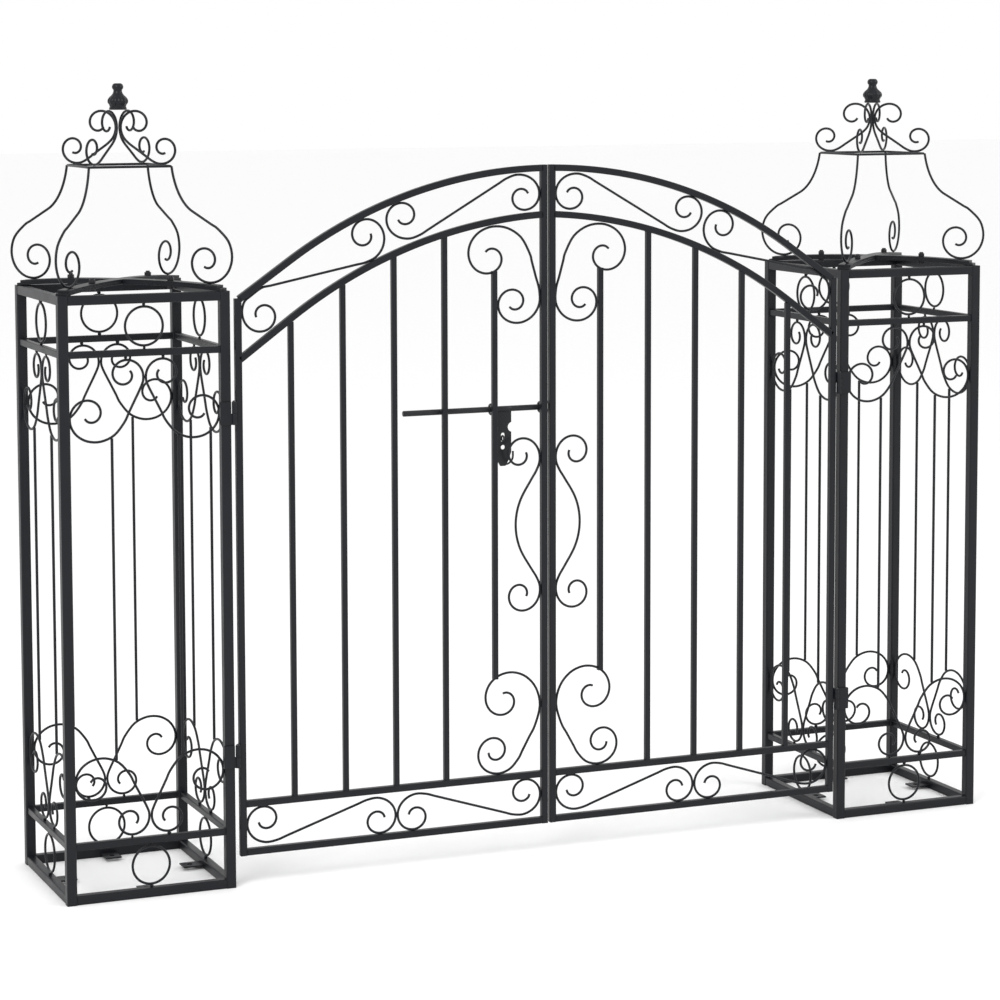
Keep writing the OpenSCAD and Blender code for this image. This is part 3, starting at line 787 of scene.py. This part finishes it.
off_middle = 0.010
split = (stile_x0 + stile_x1) / 2 + off_middle
curl = 0.021
outer_low = tube_top(stile_x1 - curl, 1) + 0.009
outer_high = under_arch(split + curl, 0) - 0.0035
inner_low = tube_top(split - curl, 1) + 0.008
inner_high = under_arch(stile_x0 + curl, 0) - 0.0015
arch_gap = 0.00015
outer_s = fitted(scroll(168.5, (64.5, 32, 8.4, -463), (64.5, 32, 8.4, -463)), split, stile_x1,
                 outer_low, outer_high)
inner_s = fitted(scroll(148, (65, 32, 8.5, 460), (65, 32, 8.5, 460)), stile_x0, split,
                 inner_low, inner_high)


def between_arches(line):
    """Presses a wire flat where it would run into an arch."""
    pressed = []
    for x, z in line:
        gap = wire / 2 / math.cos(math.asin(min(x, arch_half) / arch_r)) + arch_gap
        pressed.append((x, min(max(z, tube_top(x, 1) + gap), under_arch(x, 0) - gap)))
    return pressed


for hand in hands:
    lines = [on_leaf(between_arches(line), hand) for line in (outer_s, inner_s)]
    lay_wires(hand + "_arch_scroll_wire", lines, wire, leaf_body[hand], hand + "_arch_scrolls")

# ---- Base scrolls --------------------------------------------------------
# Two mirrored S scrolls fill the band between the bottom rail and the next,
# with their large curls back to back in the middle.

base_mid = (stile_x0 + stile_x1) / 2
base_low, base_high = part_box("right_base_scrolls")
base_s = fitted(scroll(161, (59, 30.5, 8.5, 461), (59, 30.5, 8.5, 461)), base_mid, stile_x1,
                base_low.z, base_high.z)
base_pair = [base_s, [(2 * base_mid - x, z) for x, z in base_s]]

for hand in hands:
    lay_wires(hand + "_base_scroll_wire", [on_leaf(line, hand) for line in base_pair], wire,
              leaf_body[hand], hand + "_base_scrolls")

# ---- Handle scrolls ------------------------------------------------------
# A lyre-shaped wire on each meeting stile, to pull the leaf by. Its two
# curls are welded to the stile.

handle_low, handle_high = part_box("right_handle_scroll")
bend = arm((0, 0), 90, 0, 75, 75, 33, 4)
reach = bend + arm(bend[-1], 123, 29, 30, 8.5, -422, 20)
lyre = [(x, -z) for x, z in reach][::-1] + reach[1:]
lyre = fitted(lyre, handle_low.x, handle_high.x, handle_low.z, handle_high.z)

for hand in hands:
    lay_wires(hand + "_handle_wire", [on_leaf(lyre, hand)], wire, leaf_body[hand],
              hand + "_handle_scroll")

# ---- Weld beads ----------------------------------------------------------
# Short welds join the wires to the tubes, and each bar to its rail and arch.
# They are small, uneven lumps that the powder coat covers with the rest.

bead = 0.0021
weld = 0.0013
nearly = 0.0005


def bead_tree():
    """A squashed lump of uneven size on every point of a mesh."""
    tree, given = start_tree("weld_bead", ["Radius"])
    join = tree.links.new
    lump = tree.nodes.new("GeometryNodeMeshIcoSphere")
    lump.inputs["Subdivisions"].default_value = 2
    swell = tree.nodes.new("FunctionNodeRandomValue")
    swell.data_type = "FLOAT_VECTOR"
    swell.inputs["Min"].default_value = (0.75, 0.65, 0.6)
    swell.inputs["Max"].default_value = (1.25, 0.85, 1.05)
    swell.inputs["Seed"].default_value = 11
    lean = tree.nodes.new("FunctionNodeRandomValue")
    lean.data_type = "FLOAT_VECTOR"
    lean.inputs["Min"].default_value = (-0.3, -0.2, -0.3)
    lean.inputs["Max"].default_value = (0.3, 0.2, 0.3)
    lean.inputs["Seed"].default_value = 23
    spread = tree.nodes.new("GeometryNodeInstanceOnPoints")
    join(given.outputs["Radius"], lump.inputs["Radius"])
    join(given.outputs["Geometry"], spread.inputs["Points"])
    join(lump.outputs["Mesh"], spread.inputs["Instance"])
    join(lean.outputs[0], spread.inputs["Rotation"])
    join(swell.outputs[0], spread.inputs["Scale"])
    return end_tree(tree, given, spread.outputs[0])


weld_bead = bead_tree()


def set_beads(name, spots, body):
    """One lump at each spot, as a piece of the body's wire work."""
    piece = grow(name, weld_bead, spots, [], {"Radius": bead}, coat_wire)
    for face in piece.data.polygons:
        face.use_smooth = True
    return finish_piece(piece, body, "wire_coat")


def touches(lines, x):
    """Where each line touches the upright edge at x, if it does."""
    close = [min(line, key=lambda p: abs(p[0] - x)) for line in lines]
    return [(x, z) for near_x, z in close if abs(near_x - x) < wire / 2 + nearly]


for hand in hands:
    centre = middle(hand + "_posts").x
    low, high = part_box(hand + "_rings")
    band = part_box(hand + "_inner_rails")[0].z - low.z
    scroll_low, scroll_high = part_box(hand + "_scrolls")
    crest = max(half_pair, key=lambda p: p[1])[0]
    spots = []
    for z in (low.z + weld, low.z + band - weld, high.z - band + weld, high.z - weld):
        spots += on_sides([(0, -side_y, z)], centre)
    for z in (scroll_low.z + weld, scroll_high.z - weld):
        spots += on_sides([(crest, -side_y, z)], centre) + on_sides([(-crest, -side_y, z)], centre)
    set_beads(hand + "_pillar_beads", [line[0] for line in spots], "pillars")

for hand in hands:
    lyre_ends = [lyre[:len(lyre) // 2], lyre[len(lyre) // 2:]]
    spots = touches(lyre_ends + [top_corner, low_corner, inner_s], stile_x0)
    spots += touches([outer_s, base_s], stile_x1)
    for i in range(2, bar_count + 1):
        x = stile_mid + i * bar_pitch
        spots += [(x, mid_rail_top), (x, under_arch(x, 1))]
    set_beads(hand + "_leaf_beads", on_leaf(spots, hand), leaf_body[hand])

# ---- Guide and keeper rings ----------------------------------------------
# Wire rings behind the leaves, each on a short foot. Two guide the slide rod
# on one leaf, and the third takes its end on the other.

latch = middle("slide_rod")
foot = 0.0015
guide_r = (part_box("keeper_ring")[1].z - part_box("keeper_ring")[0].z) / 2 - wire / 2


def eye_on_foot(x):
    """A ring across the rod, and its foot on the tube."""
    return [[(x, latch.y + y, latch.z + z) for y, z in circle(guide_r)],
            [(x, latch.y - guide_r, latch.z - foot), (x, latch.y - guide_r, latch.z + foot)]]


lay_wires("rod_guide_wire", eye_on_foot(-stile_mid) + eye_on_foot(-first_bar), wire, "left_leaf",
          "guide_rings")
lay_wires("keeper_wire", eye_on_foot(stile_mid), wire, "right_leaf", "keeper_ring")

# ---- Slide rod -----------------------------------------------------------
# A straight round bar that slides through the guides. Its coat is a little
# glossier than the frame's, and both ends are rounded.

latch_coat = powder_coat("latch_powder_coat", (0.012, 0.013, 0.015, 1), (0.05, 0.05, 0.052, 1),
                         0.29, 500.0)
low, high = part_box("slide_rod")
rod_r = (high.z - low.z) / 2
hasp_low, hasp_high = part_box("hasp")
neck_depth = 0.0013
neck = rod_r - neck_depth
neck_gap = 0.00015
round_end = 0.001
outline = [(low.x, 0.0)]
for i in range(7):
    a = math.pi / 2 * i / 6
    outline.append((low.x + round_end * (1 - math.cos(a)),
                    rod_r - round_end + round_end * math.sin(a)))
outline += [(hasp_low.x - neck_gap, rod_r), (hasp_low.x - neck_gap, neck),
            (hasp_high.x + neck_gap, neck), (hasp_high.x + neck_gap, rod_r)]
for i in range(7):
    a = math.pi / 2 * i / 6
    outline.append((high.x - round_end * (1 - math.sin(a)),
                    rod_r - round_end + round_end * math.cos(a)))
outline.append((high.x, 0.0))
around = 40
work = bmesh.new()
rings = []
for x, r in outline:
    if r == 0:
        rings.append([work.verts.new((x, latch.y, latch.z))] * around)
    else:
        turns = [2 * math.pi * i / around for i in range(around)]
        rings.append([work.verts.new((x, latch.y + r * math.cos(a), latch.z + r * math.sin(a)))
                      for a in turns])
for one, two in zip(rings, rings[1:]):
    for i in range(around):
        corners = [one[i], one[(i + 1) % around], two[(i + 1) % around], two[i]]
        kept = [v for k, v in enumerate(corners) if v not in corners[:k]]
        work.faces.new(kept).smooth = True
piece = kept_mesh("slide_rod_bar", work, latch_coat)
piece.data.set_sharp_from_angle(angle=sharp)
finish_piece(piece, "slide_rod", "latch_coat", "slide_rod")

# ---- Hasp ----------------------------------------------------------------
# A plate with a waist, a slot and a hole hangs on the rod by a sleeve. A
# bent finger at its foot and a loop for a padlock are welded wire.

ease_edges("hasp", flat_edge, latch_coat)
ease_edges("hasp_hook", small_edge, latch_coat)
ease_edges("lock_eye", small_edge, latch_coat)

# ---- Floor, light and camera ---------------------------------------------
# A plain pale floor under even light, with a wide soft box on each side. The
# camera stands to the left of the gate, at the height of its crowns.

floor_half = 30
floor_mesh = bpy.data.meshes.new("floor")
corners = [(-floor_half, -floor_half, 0), (floor_half, -floor_half, 0),
           (floor_half, floor_half, 0), (-floor_half, floor_half, 0)]
floor_mesh.from_pydata(corners, [], [(0, 1, 2, 3)])
floor = bpy.data.objects.new("floor", floor_mesh)
bpy.context.collection.objects.link(floor)
pale = bpy.data.materials.new("pale_floor")
pale.use_nodes = True
pale.node_tree.nodes["Principled BSDF"].inputs["Base Color"].default_value = (0.97, 0.97, 0.97, 1)
pale.node_tree.nodes["Principled BSDF"].inputs["Roughness"].default_value = 0.9
floor.data.materials.append(pale)

world = bpy.data.worlds.new("studio")
world.use_nodes = True
world.node_tree.nodes["Background"].inputs["Color"].default_value = (1, 1, 1, 1)
world.node_tree.nodes["Background"].inputs["Strength"].default_value = 1.0
bpy.context.scene.world = world


def soft_box(name, place, aim, size, watts):
    light = bpy.data.lights.new(name, "AREA")
    light.size = size
    light.energy = watts
    lamp = bpy.data.objects.new(name, light)
    lamp.location = place
    lamp.rotation_euler = (Vector(aim) - Vector(place)).to_track_quat("-Z", "Y").to_euler()
    bpy.context.collection.objects.link(lamp)


soft_box("soft_box_left", (-2.6, -2.2, 2.6), (0, 0, 0.45), 1.6, 60)
soft_box("soft_box_right", (2.4, -1.6, 2.0), (0, 0, 0.45), 1.4, 25)

camera = bpy.data.cameras.new("camera")
camera.lens = 105.43
camera.sensor_width = 36
camera.shift_x = 0.05
camera.shift_y = -0.16
view = bpy.data.objects.new("camera", camera)
bpy.context.collection.objects.link(view)
turn = math.radians(22.14)
tilt = math.radians(-5.295)
roll = math.radians(-0.233)
ahead = Vector((math.sin(turn) * math.cos(tilt), math.cos(turn) * math.cos(tilt), math.sin(tilt)))
view.location = (-1.4464, -3.3384, 0.9639)
view.rotation_euler = ahead.to_track_quat("-Z", "Y").to_euler()
view.rotation_euler.rotate_axis("Z", roll)
bpy.context.scene.camera = view
bpy.context.scene.view_settings.view_transform = "Standard"
